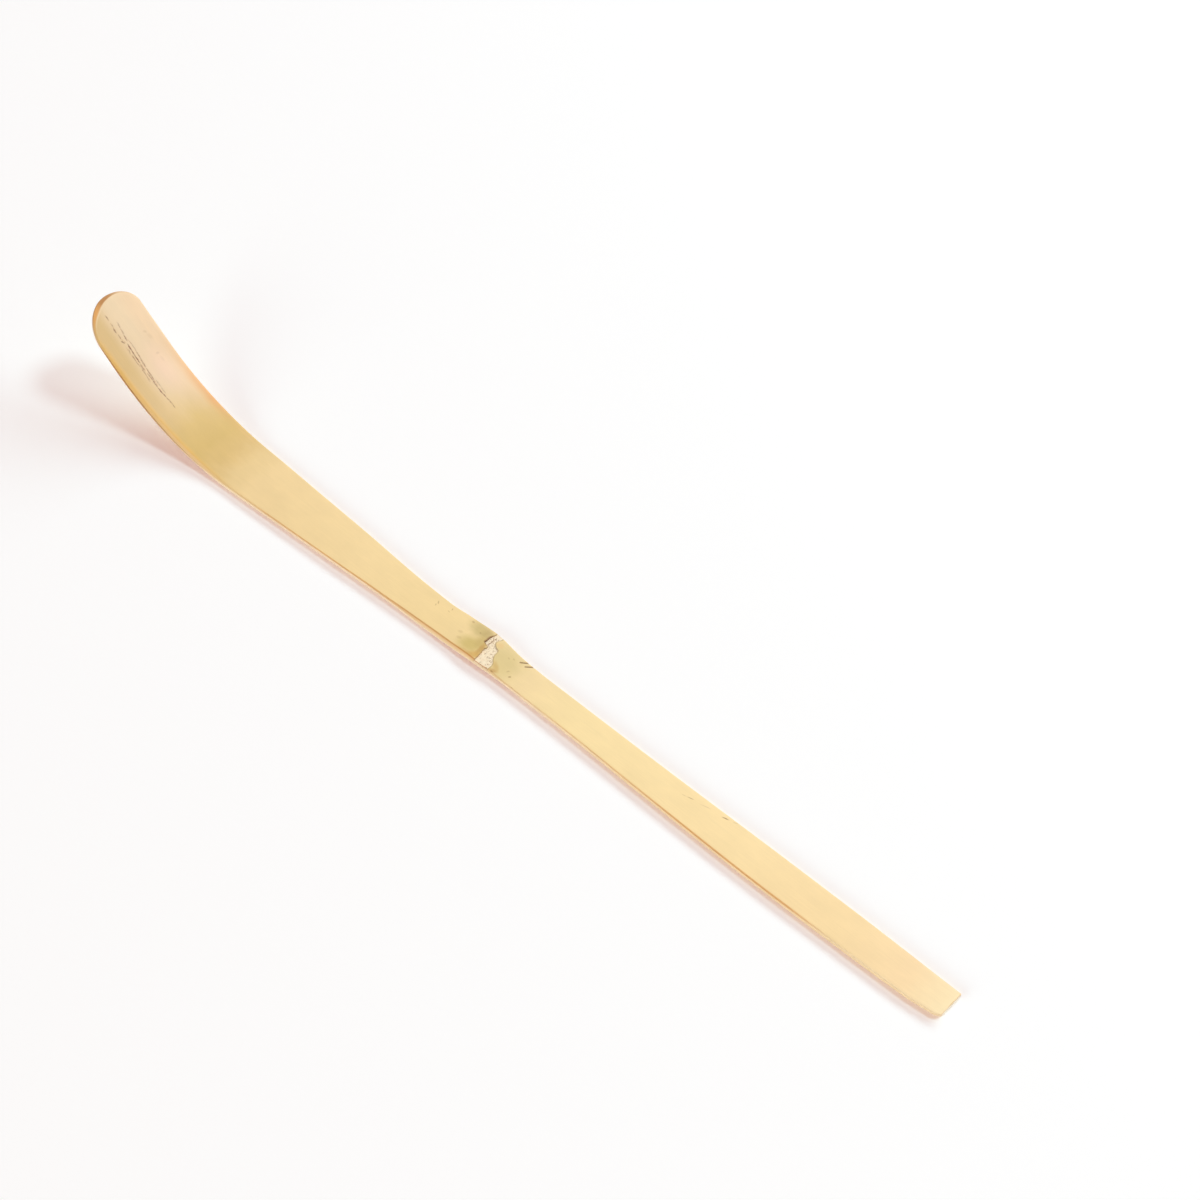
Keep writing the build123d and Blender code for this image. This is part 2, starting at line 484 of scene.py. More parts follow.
def nose_ray(centre, turn):
    """Half a cross-section from the nose's centre out to its edge."""
    rim = nose_place(radians(turn))
    outward = rim - centre
    reach = outward.length
    outward.normalize()
    cut_width, cut_depth, burnt = (smooth(nose_bevel, turn, column) for column in (1, 2, 3))
    cut_depth *= strip_thickness / thickness_at(rim.x)
    ray = []
    for out, depth in half_profile(reach, cut_width, cut_depth, strip_thickness):
        run, across = centre + outward * out
        inward, band = rim_of(reach, out, depth, cut_width, cut_depth, strip_thickness)
        depth = depth * thickness_at(run) / strip_thickness
        ray.append((run, across, level_at(run, across, depth), depth, inward, band, burnt))
    return ray


def make_bowl():
    body = Body("bamboo_bowl")
    near_rim, far_rim = nose_place(-pi / 2), nose_place(pi / 2)
    slope = (far_rim.x - near_rim.x) / (far_rim.y - near_rim.y)

    def nose_line(across):
        return near_rim.x + (across - near_rim.y) * slope

    lines = spaced(straight(bend_start), straight(slope_start), bend_rings)
    lines += spaced(straight(slope_start), nose_line, slope_rings)[1:]
    made = body.loft(rings_on(lines))
    body.cap(made[0])
    near, far = made[-1]
    centre = Vector((nose_line(0.0), 0.0))
    last = near
    for i in range(1, nose_rays):
        turn = 180.0 * (i / nose_rays - 0.5)
        ray = nose_ray(centre, turn)
        points = [near[0]] + [body.vertex(place) for place in ray[1:-1]] + [near[-1]]
        body.skin(last, points)
        last = points
    body.skin(last, far)
    return body


def make_bar(name, halves):
    """A body through these rings, closed at both ends."""
    body = Body(name)
    made = body.loft(halves)
    body.cap(made[0])
    body.cap(made[-1])
    return body


def make_blade():
    lines = spaced(straight(node_start), straight(bend_start), blade_rings)
    return make_bar("bamboo_blade", rings_on(lines))


def make_node():
    left, right = border(scar_left), border(scar_right)
    before = spaced(straight(node_start), beside(left, -border_reach), node_rings_left)
    before += spaced(beside(left, -border_reach), left, border_rings)[1:]
    between = spaced(left, right, scar_floor_rings)
    after = spaced(right, beside(right, border_reach), border_rings)
    after += spaced(beside(right, border_reach), straight(handle_start), node_rings_right)[1:]
    return make_bar("bamboo_node", rings_on(before) + rings_on(between, scar_floor) + rings_on(after))


def scar_pores():
    """Places of the pores in the scar, as (run, across, radius)."""
    choice = random.Random(pore_seed)
    pores = []
    for _ in range(pore_count):
        across = choice.uniform(*pore_across)
        share = choice.uniform(*pore_share)
        run = smooth(scar_left, across) * (1 - share) + smooth(scar_right, across) * share
        pores.append((run, across, choice.uniform(*pore_radius)))
    return pores


def scar_relief(run, across, pores):
    """Height of the planed patch at a place, and how dark it is there."""
    left, right = smooth(scar_left, across), smooth(scar_right, across)
    share = (run - left) / (right - left)
    fibres = waves(run, across, 1.6, 4.5, 0.0)
    crumbs = waves(run, across, 6.0, 7.0, 3.0)
    height = scar_low + (scar_high - scar_low) * share
    height += scar_fibre_height * fibres + scar_crumb_height * crumbs
    dark = 0.0
    if flake_start < across < flake_end:
        inside = run - left
        height += flake_height * closeness(inside - flake_crest * flake_width, flake_reach * flake_width)
        dark = groove_dark * closeness(inside - groove_place * flake_width, groove_width)
        height -= pore_depth * dark
    for x, y, radius in pores:
        pit = max(1 - ((run - x) ** 2 + (across - y) ** 2) / (radius * radius), 0.0)
        height -= pore_depth * pit
        dark = max(dark, pore_dark * pit)
    return height, dark


def resampled(points, count):
    """The same run of places, spaced evenly."""
    lengths = [0.0]
    for first, second in zip(points, points[1:]):
        lengths.append(lengths[-1] + (Vector(second[:3]) - Vector(first[:3])).length)
    even, at = [], 0
    for i in range(count + 1):
        goal = lengths[-1] * i / count
        while at < len(points) - 2 and lengths[at + 1] < goal:
            at += 1
        share = (goal - lengths[at]) / (lengths[at + 1] - lengths[at])
        even.append(tuple(a + (b - a) * share for a, b in zip(points[at], points[at + 1])))
    return even


def above(places, level):
    """The places from the crown outwards that lie above a level, and the one where they pass it."""
    kept = []
    for first, second in zip(places, places[1:]):
        kept.append(first)
        if second[2] < level:
            share = (first[2] - level) / (first[2] - second[2])
            kept.append(tuple(a + (b - a) * share for a, b in zip(first, second)))
            return kept
    return kept


def scar_half(line, side, pores):
    top = []
    places = above(half_ring(line, side), scar_floor)
    for run, across, level, depth, inward, band, _ in resampled(places, scar_columns):
        height, dark = scar_relief(run, across, pores)
        top.append((run, across, min(height, level), depth, inward, band, dark))
    bottom = [place[:2] + (scar_floor,) + place[3:] for place in reversed(top[:-1])]
    return top + bottom


def make_scar():
    pores = scar_pores()
    lines = spaced(border(scar_left), border(scar_right), scar_rings)
    return make_bar("torn_scar", [(scar_half(line, -1, pores), scar_half(line, 1, pores)) for line in lines])


def end_face(pair):
    """The last ring drawn in a little and marked as cut across the fibres."""
    middle = -strip_thickness / 2
    halves = []
    for side, half in zip((-1, 1), pair):
        ring = []
        for run, across, level, depth, inward, _, _ in half:
            across = side * max(abs(across) - end_inset, 0.0)
            level += min(max(middle - level, -end_inset), end_inset)
            ring.append((run, across, level, depth, inward, end_band, 0.0))
        halves.append(ring)
    return halves


def make_handle():
    slit_stop, taper_start = straight(handle_start + slit_zone), straight(cut_end - taper_length)
    lines = spaced(straight(handle_start), slit_stop, slit_rings)
    lines += spaced(slit_stop, taper_start, handle_rings)[1:]
    lines += spaced(taper_start, straight(cut_end), taper_rings)[1:]
    rings = rings_on(lines)
    return make_bar("bamboo_handle", rings + [end_face(rings[-1])])


def linear(red, green, blue):
    """Colour of a shader socket for a colour given in 0 to 255."""
    def channel(value):
        value = value / 255
        return value / 12.92 if value <= 0.04045 else ((value + 0.055) / 1.055) ** 2.4
    return (channel(red), channel(green), channel(blue), 1.0)


class Nodes:
    """Short calls that add nodes to a tree. Each takes plain values, sockets or nodes as its inputs."""

    def __init__(self, tree):
        self.tree = tree

    def put(self, socket, value):
        if isinstance(value, bpy.types.Node):
            value = value.outputs[0]
        if isinstance(value, bpy.types.NodeSocket):
            self.tree.links.new(value, socket)
        else:
            socket.default_value = value

    def node(self, kind, *values, **settings):
        """A new node with these settings, and its first inputs filled."""
        made = self.tree.nodes.new("ShaderNode" + kind)
        for key, value in settings.items():
            setattr(made, key, value)
        for socket, value in zip(made.inputs, values):
            self.put(socket, value)
        return made

    def named(self, node, **values):
        """Fills sockets by their names, with _ for a space."""
        for name, value in values.items():
            self.put(node.inputs[name.replace("_", " ")], value)
        return node

    def math(self, operation, *values):
        return self.node("Math", *values, operation=operation).outputs[0]

    def distance(self, place):
        return self.node("VectorMath", place, operation="LENGTH").outputs["Value"]


class Graph(Nodes):
    """The nodes of one of the strip's materials, with the places on the strip."""

    def __init__(self, name):
        self.material = bpy.data.materials.new(name)
        self.material.use_nodes = True
        super().__init__(self.material.node_tree)
        self.shader = self.tree.nodes["Principled BSDF"]
        self.strip, (self.run, self.across, _) = self.read("strip")
        _, (self.inward, self.band, self.mark) = self.read("rim")
        middle = 0.3
        self.near_side = self.step(self.across, middle, -middle)

    def read(self, name):
        """The three numbers that the mesh keeps under this name, together and apart."""
        made = self.node("Attribute", attribute_name=name).outputs["Vector"]
        return made, self.node("SeparateXYZ", made).outputs

    def product(self, first, *others):
        for other in others:
            first = self.math("MULTIPLY", first, other)
        return first

    def step(self, value, low, high):
        """Smooth share of the way from low to high, which may run downwards."""
        made = self.node("MapRange", value, low, high, interpolation_type="SMOOTHSTEP")
        return made.outputs[0]

    def near(self, value, place, width):
        """1 at a place, and 0 from this far away."""
        away = self.math("ABSOLUTE", self.math("SUBTRACT", value, place))
        return self.step(away, width, 0.0)

    def mix(self, share, first, second, blend="MIX"):
        made = self.node("Mix", share, data_type="RGBA", blend_type=blend)
        self.put(made.inputs[6], first)
        self.put(made.inputs[7], second)
        return made.outputs[2]

    def paint(self, colour, tone, *shares):
        """The colour, covered with a tone in 0 to 255 by the product of these shares."""
        return self.mix(self.product(*shares), colour, linear(*tone))

    def vector(self, operation, first, second):
        return self.node("VectorMath", first, second, operation=operation).outputs[0]

    def noise(self, pace, detail=3.0, roughness=0.55):
        """Noise node with this many waves in a millimetre each way of the strip."""
        made = self.node("TexNoise", self.vector("MULTIPLY", self.strip, pace))
        return self.named(made, Scale=1.0, Detail=detail, Roughness=roughness)

    def warped(self, pace, reach):
        """The place on the strip, moved a little this way and that."""
        moved = self.vector("SUBTRACT", self.noise(pace, detail=2.0).outputs[1], (0.5, 0.5, 0.5))
        return self.vector("ADD", self.strip, self.vector("MULTIPLY", moved, reach))

    def ramp(self, value, points):
        """Colour or value of a band through (place, four numbers) points."""
        first, last = points[0][0], points[-1][0]
        made = self.node("ValToRGB", self.node("MapRange", value, first, last))
        elements = made.color_ramp.elements
        while len(elements) < len(points):
            elements.new(0.5)
        for element, (place, colour) in zip(elements, points):
            element.position = (place - first) / (last - first)
            element.color = colour
        return made.outputs[0]

    def curve(self, value, points):
        return self.ramp(value, [(place, (height, height, height, 1.0)) for place, height in points])

    def colours(self, value, points):
        return self.ramp(value, [(place, linear(*tone)) for place, tone in points])

    def ellipse(self, place, x, y, turn, half_length, half_width, inner, outer):
        """1 inside a turned ellipse on the skin and 0 outside it, soft between two shares of its size."""
        half_depth = 4.0
        size = (half_length, half_width, half_depth)
        moved = self.node("Mapping", place, (x, y, 0.0), (0.0, 0.0, turn), size, vector_type="TEXTURE")
        return self.step(self.distance(moved), outer, inner)

    def varied(self, value, share):
        """A factor about 1, which rises by this share while the value goes from 0 to 1."""
        return self.math("MULTIPLY_ADD", value, share, 1 - share / 2)

    def surface(self, colour, rough, height, strength, distance):
        """Gives the surface its colour, its roughness and its relief."""
        bump = self.named(self.node("Bump"), Strength=strength, Distance=distance, Height=height)
        self.named(self.shader, Base_Color=colour, Roughness=rough, Normal=bump)
        return self.material


# Colours along the strip, in 0 to 255, painted lighter towards the handle's end to stand in for the light
# there
skin_tones_and_light = [
    (-95.5, (232, 205, 164)), (-88.0, (230, 203, 163)), (-79.0, (228, 200, 158)),
    (-74.5, (226, 195, 143)), (-70.0, (219, 186, 118)), (-65.0, (217, 184, 114)),
    (-61.0, (225, 191, 127)), (-57.5, (236, 205, 147)), (-53.5, (243, 212, 156)),
    (-29.0, (247, 217, 160)), (-12.0, (245, 215, 156)), (2.0, (240, 214, 158)), (6.0, (246, 218, 164)),
    (15.0, (251, 224, 166)), (50.0, (252, 223, 167)), (70.0, (250, 219, 164)),
    (83.0, (251, 219, 169)), (91.0, (255, 231, 183)),
]
# Bowl halves: the wood's own tone, with painted shade on the near half and painted sheen on the far half
near_bowl_tone_and_shade = (215, 180, 119)
far_bowl_tone_and_sheen = (233, 199, 156)
# Pinkish painted highlight in the bowl
bowl_highlight_tone = (239, 203, 172)
# Amber painted glow of the bowl's rounded near edge
near_edge_amber_glow = (236, 188, 106)
golden = (230, 166, 94)
burnt = (190, 132, 74)
# Painted highlight along the inner rim of the nose's bevel
bevel_rim_highlight = (236, 206, 160)
line_brown = (204, 130, 46)
soft_line = (224, 156, 76)
dark_brown = (112, 62, 22)
# Wall tones: the pale cut wood, painted paler still on the near walls to stand in for light, and the bowl's
# near wall painted darker with shade
near_wall_tone_and_light = (255, 229, 196)
far_wall_tone = (242, 210, 162)
end_wall_tone_and_light = (255, 227, 182)
tip_wall = (250, 220, 194)
bowl_wall_shade = (206, 146, 82)
heel_wall = (238, 196, 148)
# Paler knife facet: the cut fibre's own tone, with painted light where the facet turns from the lamps
facet_tone_and_light = (255, 216, 162)
# Painted glow along the far edge of the bowl's heel
far_edge_painted_glow = (230, 168, 100)
fibre_brown = (124, 58, 26)
faint_brown = (184, 126, 84)
mark_brown = (146, 94, 38)
under_tone = (247, 232, 208)
under_node = (206, 168, 112)
pith_dots = (190, 138, 84)
# End grain, pale in itself and painted paler still to stand in for light on the cut end
end_grain_tone_and_light = (255, 247, 230)
scar_tone = (250, 222, 183)
scar_pale = (255, 245, 218)
scar_thread = (222, 182, 142)
pore_tone = (150, 100, 62)

# Soft patches of the joint, most of them darker towards the step of the scar: (run, across, turn, half
# length, half width, strength, tone)
joint_patches = [
    (0.4, 0.2, 60.0, 3.6, 3.6, 0.85, (222, 199, 139)),
    (-6.2, 2.4, -8.0, 2.7, 1.7, 0.95, (209, 185, 124)),
    (-4.9, 2.4, 10.0, 1.2, 1.1, 0.5, (188, 162, 104)),
    (-5.6, -0.8, 14.0, 2.6, 1.8, 0.95, (214, 188, 116)),
    (-4.5, 0.7, 90.0, 1.3, 1.2, 0.7, (202, 174, 104)),
    (-3.7, -0.5, 96.0, 1.7, 0.5, 0.75, (196, 152, 80)),
    (-3.8, -1.9, 25.0, 1.4, 0.75, 0.7, (214, 168, 84)),
    (-5.4, -2.35, 2.0, 2.2, 0.4, 0.3, (206, 156, 80)),
    (-1.9, 2.15, 30.0, 0.8, 0.65, 0.45, (236, 194, 128)),
    (0.3, -1.3, -35.0, 1.3, 0.55, 0.55, (206, 164, 88)),
    (0.35, -2.1, 8.0, 0.8, 0.38, 0.6, (194, 144, 72)),
]

# Dark fibres of the bowl, each a thin stroke: (from, to, strength)
fibre_strokes = [
    ((-92.6, -1.58), (-91.8, -1.58), 0.65), ((-90.8, -1.56), (-90.4, -1.6), 0.35),
    ((-90.1, -1.74), (-89.3, -1.76), 0.75), ((-90.5, -0.5), (-89.6, -0.64), 0.4),
    ((-88.8, -1.62), (-88.0, -1.7), 0.5), ((-87.6, -1.82), (-87.1, -1.62), 0.85),
    ((-89.2, -0.68), (-88.4, -0.74), 0.45), ((-88.3, -0.9), (-87.2, -0.97), 0.75),
    ((-86.7, -1.22), (-85.3, -1.32), 0.95), ((-85.6, -1.36), (-84.1, -1.36), 0.8),
    ((-84.5, -1.39), (-83.0, -1.36), 1.0), ((-85.9, -1.6), (-85.1, -1.88), 0.4),
    ((-84.8, -1.73), (-83.6, -1.77), 0.5), ((-83.5, -1.77), (-82.8, -1.73), 0.5),
    ((-86.5, -0.66), (-85.1, -0.63), 0.35), ((-85.0, -0.72), (-83.2, -0.79), 0.5),
    ((-83.6, -0.86), (-81.7, -1.02), 0.6), ((-81.7, -1.03), (-79.9, -1.12), 0.6),
    ((-82.8, -1.48), (-81.4, -1.5), 0.6), ((-82.0, -1.7), (-80.6, -1.74), 0.45),
    ((-80.5, -1.76), (-79.5, -1.92), 0.4), ((-80.7, -0.98), (-79.2, -1.24), 0.5),
    ((-80.8, -1.38), (-79.4, -1.32), 0.6), ((-79.7, -1.34), (-77.9, -1.46), 0.7),
    ((-77.9, -1.47), (-76.6, -1.4), 0.95), ((-76.7, -1.39), (-75.9, -1.37), 0.75),
    ((-75.9, -1.36), (-74.5, -1.26), 0.65), ((-74.5, -1.26), (-73.6, -1.42), 0.5),
    ((-79.2, -0.88), (-77.7, -0.94), 0.35), ((-77.7, -0.94), (-76.5, -1.0), 0.35),
]
# The fainter lines that join them, as (run, distance across)
fibre_lines = [
    [(-92.6, -1.58), (-88.0, -1.7), (-86.6, -1.25), (-83.0, -1.36), (-79.0, -1.38), (-73.4, -1.36)],
    [(-91.5, -0.5), (-88.0, -0.88), (-86.4, -0.64), (-83.2, -0.8), (-79.6, -1.1), (-77.4, -1.4)],
    [(-87.0, -1.74), (-85.0, -1.85), (-82.8, -1.74), (-80.4, -1.75), (-78.4, -1.6)],
]
# Small brown scratches and specks of the level strip: (from, to, half width, strength)
skin_strokes = [
    ((-15.3, 1.9), (-15.0, 1.5), 0.12, 0.4), ((-15.25, 1.25), (-15.1, 1.0), 0.1, 0.35),
    ((-12.6, 2.35), (-12.5, 2.1), 0.1, 0.4), ((-12.9, 1.6), (-12.5, 1.5), 0.08, 0.3),
    ((-8.5, 2.75), (-8.25, 2.75), 0.2, 0.35), ((-6.1, 1.9), (-5.9, 1.8), 0.14, 0.3),
    ((-8.8, -0.1), (-8.4, 0.0), 0.3, 0.14), ((-8.2, -1.1), (-7.8, -1.0), 0.3, 0.14),
    ((3.1, -1.25), (3.28, -1.1), 0.15, 0.6), ((2.2, -0.7), (2.4, -0.4), 0.14, 0.25),
    ((0.3, -2.38), (0.5, -2.34), 0.14, 0.6), ((1.3, 1.8), (1.5, 1.74), 0.14, 0.22),
    ((0.6, 1.4), (0.8, 1.3), 0.14, 0.2), ((4.75, -2.46), (4.95, -2.46), 0.12, 0.35),
    ((38.5, 1.24), (39.5, 1.48), 0.09, 0.5), ((37.5, 1.0), (38.3, 1.15), 0.08, 0.2),
    ((40.8, 1.58), (42.6, 2.05), 0.08, 0.22), ((44.8, 2.12), (45.9, 2.45), 0.1, 0.75),
    ((46.6, 2.6), (47.4, 2.86), 0.08, 0.25),
]
# Faint mottles of the bowl: (run, across, turn, half length, half width, strength)
mottles = [
    (-86.7, 2.65, 45.0, 0.4, 0.25, 0.16), (-85.6, 2.95, 20.0, 0.8, 0.4, 0.1),
    (-82.6, 2.3, 80.0, 0.4, 0.25, 0.16), (-81.4, 2.4, 10.0, 0.6, 0.3, 0.08),
]


def stroke(graph, place, start, stop, half_width):
    """A thin mark on the skin from one place to another."""
    start, stop = Vector(start), Vector(stop)
    span = stop - start
    middle = (start + stop) / 2
    turn = -Vector((1, 0)).angle_signed(span)
    half_length = span.length / 2 + half_width
    return graph.ellipse(place, *middle, turn, half_length, half_width, inner=0.4, outer=1.25)


def bowl_layers(graph, colour, blotch):
    """The near half of the bowl darkened with painted shade, its far half pinker with painted sheen, a
    painted highlight, and the painted amber glow of its edges.
    """
    bowl = graph.step(graph.run, -66.0, -78.0)
    # Painted shade over the near half of the bowl and painted sheen over its far half
    colour = graph.paint(colour, near_bowl_tone_and_shade, bowl, graph.step(graph.across, -0.4, -3.4), 0.9)
    colour = graph.paint(colour, far_bowl_tone_and_sheen, bowl, graph.step(graph.across, 0.6, 4.0), 0.8)
    # Painted highlight, a pinkish spot in the middle of the bowl
    bowl_highlight = graph.ellipse(graph.strip, -80.0, 1.6, 0.0, 6.0, 2.8, inner=0.0, outer=1.2)
    colour = graph.paint(colour, bowl_highlight_tone, bowl_highlight, 0.7)

    # Amber painted glow along the bowl's near edge, reaching in from the edge
    reach = graph.curve(graph.run, [(-92.0, 0.0), (-88.5, 0.7), (-84.0, 1.0), (-66.0, 0.95),
                                    (-56.0, 0.15), (-50.0, 0.0)])
    swayed = graph.math("MULTIPLY_ADD", blotch, 0.6, graph.inward)
    colour = graph.paint(colour, near_edge_amber_glow, graph.near_side, reach, graph.step(swayed, 1.1, 0.05))
    # Painted glow along the far edge, strongest at the bowl's heel
    glow = graph.curve(graph.run, [(-86.0, 0.0), (-80.0, 0.4), (-76.0, 0.75), (-71.0, 1.0),
                                   (-66.0, 0.2), (-60.0, 0.0)])
    far_side = graph.step(graph.across, 0.0, 1.0)
    return graph.paint(colour, far_edge_painted_glow, graph.step(swayed, 2.3, 0.1), far_side, glow)


def joint_layers(graph, colour):
    """The soft patches beside the scar."""
    place = graph.warped((0.9, 0.9, 0.9), (0.7, 0.7, 0.0))
    for x, y, turn, half_length, half_width, strength, tone in joint_patches:
        turn = radians(turn)
        spot = graph.ellipse(place, x, y, turn, half_length, half_width, inner=0.25, outer=1.3)
        colour = graph.paint(colour, tone, spot, strength)
    return colour


def edge_layers(graph, colour):
    """The walls, with painted shade on the bowl's near wall and painted light on the paler near walls of the
    level strip, the knife facet, partly painted light, and the fine brown lines along the near edge.
    """
    # Near walls: painted shade in the bowl, and painted light along the level strip, paler than the cut wood
    walls = graph.colours(graph.run, [(-95.0, tip_wall), (-90.0, tip_wall), (-87.0, bowl_wall_shade),
                                      (-80.0, bowl_wall_shade), (-70.0, heel_wall), (-58.0, near_wall_tone_and_light),
                                      (10.0, near_wall_tone_and_light), (30.0, end_wall_tone_and_light), (91.0, end_wall_tone_and_light)])
    walls = graph.mix(graph.near_side, linear(*far_wall_tone), walls)
    wall_start = graph.curve(graph.run, [(66.0, 0.75), (76.0, 0.0)])
    wall_full = graph.math("MULTIPLY_ADD", wall_start, 1.4, 0.1)
    colour = graph.mix(graph.step(graph.band, wall_start, wall_full), colour, walls)

    # The knife facet painted paler, partly its own tone and partly painted light
    on_cut = graph.product(graph.step(graph.band, 0.02, 0.25), graph.step(graph.band, 1.1, 0.8))
    facet_run = graph.curve(graph.run, [(-84.0, 0.0), (-74.0, 0.4), (-64.0, 0.6), (-54.0, 0.1),
                                        (-24.0, 0.0), (-17.0, 0.6), (-4.5, 0.95), (-2.6, 0.3), (4.0, 0.25),
                                        (20.0, 0.3), (36.0, 0.55), (66.0, 0.5), (74.0, 0.1)])
    colour = graph.paint(colour, facet_tone_and_light, graph.near_side, on_cut, facet_run)

    soft_run = graph.curve(graph.run, [(-56.0, 0.0), (-48.0, 0.5), (-20.0, 0.55), (-4.0, 0.4), (-2.0, 0.35),
                                       (8.0, 0.15), (18.0, 0.3), (30.0, 0.5), (42.0, 0.85), (62.0, 0.85),
                                       (70.0, 0.0)])
    line = graph.near(graph.inward, -0.05, 0.3)
    colour = graph.paint(colour, soft_line, graph.near_side, line, soft_run)
    brown_run = graph.curve(graph.run, [(-50.0, 0.0), (-42.0, 0.3), (-24.0, 0.4), (-12.0, 0.6), (-3.3, 0.8),
                                        (-2.9, 0.0)])
    thin = graph.near(graph.inward, 0.03, 0.17)
    return graph.paint(colour, line_brown, graph.near_side, thin, brown_run)


def nose_layers(graph, colour):
    """The burnt bevel of the nose between a painted highlight along its inner rim and a thin dark line, and
    a line of painted shade on the bowl's near wall.
    """
    at_tip = graph.step(graph.run, -88.6, -90.0)
    # Painted highlight along the inner rim of the bevel
    rim_highlight = graph.near(graph.inward, 0.14, 0.24)
    colour = graph.paint(colour, bevel_rim_highlight, rim_highlight, at_tip, graph.mark, 0.7)
    on_bevel = graph.product(graph.step(graph.band, 0.02, 0.16), graph.step(graph.band, 1.12, 0.95), at_tip)
    tone = graph.mix(graph.step(graph.across, -2.6, -0.4), linear(*golden), linear(*burnt))
    colour = graph.mix(graph.product(on_bevel, graph.mark, 0.95), colour, tone)
    fading = graph.step(graph.across, 5.1, 4.2)
    rim_line = graph.near(graph.band, 1.0, 0.14)
    colour = graph.paint(colour, dark_brown, rim_line, at_tip, fading, 0.35)
    # Painted shade: a dark line along the bowl's near wall
    wall_shade_run = graph.curve(graph.run, [(-92.0, 0.3), (-88.0, 0.7), (-76.0, 0.8), (-66.0, 0.5), (-60.0, 0.0)])
    wall_shade_line = graph.near(graph.band, 1.04, 0.22)
    return graph.paint(colour, dark_brown, graph.near_side, wall_shade_line, wall_shade_run)


def fibre_layers(graph, colour, on_top):
    """The dark fibres that show in the bowl. Gives the colour, and where they lie."""
    # A ramp keeps no number below 0, so the lines are moved up and back again
    offset = 3.0
    half_width, core, fade = 0.13, 0.02, 1.5
    stroke_half_width = 0.135
    faint = 0.0
    for points in fibre_lines:
        shifted = [(run, across + offset) for run, across in points]
        line = graph.math("SUBTRACT", graph.curve(graph.run, shifted), offset)
        away = graph.math("ABSOLUTE", graph.math("SUBTRACT", graph.across, line))
        first, last = points[0][0], points[-1][0]
        span = graph.product(
            graph.step(graph.run, first, first + fade), graph.step(graph.run, last, last - fade)
        )
        faint = graph.math("MAXIMUM", faint, graph.product(graph.step(away, half_width, core), span))
    breaks = graph.step(graph.noise((2.6, 1.2, 0.0), detail=2.0), 0.42, 0.6)
    faint = graph.product(faint, breaks, on_top)
    colour = graph.paint(colour, faint_brown, faint, 0.5)
    place = graph.warped((1.4, 1.4, 0.0), (0.15, 0.2, 0.0))
    dark = 0.0
    for start, stop, strength in fibre_strokes:
        spot = stroke(graph, place, start, stop, stroke_half_width)
        dark = graph.math("MAXIMUM", dark, graph.product(spot, strength))
    grainy = graph.math("MULTIPLY_ADD", graph.noise((4.2, 5.0, 0.0), detail=2.0), 2.0, -0.2)
    dark = graph.product(dark, grainy, on_top)
    return graph.paint(colour, fibre_brown, dark), graph.math("MAXIMUM", dark, faint)


def scratch_layers(graph, colour, on_top):
    """Specks, scratches and mottles of the skin."""
    place = graph.warped((1.5, 1.5, 0.0), (0.12, 0.12, 0.0))
    for start, stop, half_width, strength in skin_strokes:
        spot = stroke(graph, place, start, stop, half_width)
        colour = graph.paint(colour, mark_brown, spot, on_top, strength)
    for x, y, turn, half_length, half_width, strength in mottles:
        turn = radians(turn)
        spot = graph.ellipse(place, x, y, turn, half_length, half_width, inner=0.2, outer=1.3)
        colour = graph.paint(colour, mark_brown, spot, on_top, strength)
    return colour


def under_layers(graph, colour):
    """The pale inner side of the cane, darker where the joint's wall was cut away, and the end grain, pale
    in itself and painted paler to stand in for light.
    """
    below = graph.product(graph.step(graph.band, 1.86, 1.98), graph.step(graph.band, 2.3, 2.1))
    colour = graph.paint(colour, under_tone, below)
    swayed = graph.math("MULTIPLY_ADD", graph.noise((0.5, 0.9, 0.0)), 2.4, graph.run)
    colour = graph.paint(colour, under_node, below, graph.near(swayed, -2.6, 2.4), 0.75)
    # End grain painted paler to stand in for light on the cut end
    end = graph.step(graph.band, 2.4, 2.9)
    colour = graph.paint(colour, end_grain_tone_and_light, end)
    cells = graph.node("TexVoronoi", graph.vector("MULTIPLY", graph.strip, (0.0, 4.4, 6.0)), feature="F1")
    graph.named(cells, Scale=1.0)
    dots = graph.step(cells.outputs["Distance"], 0.34, 0.16)
    return graph.paint(colour, pith_dots, dots, end, 0.2)


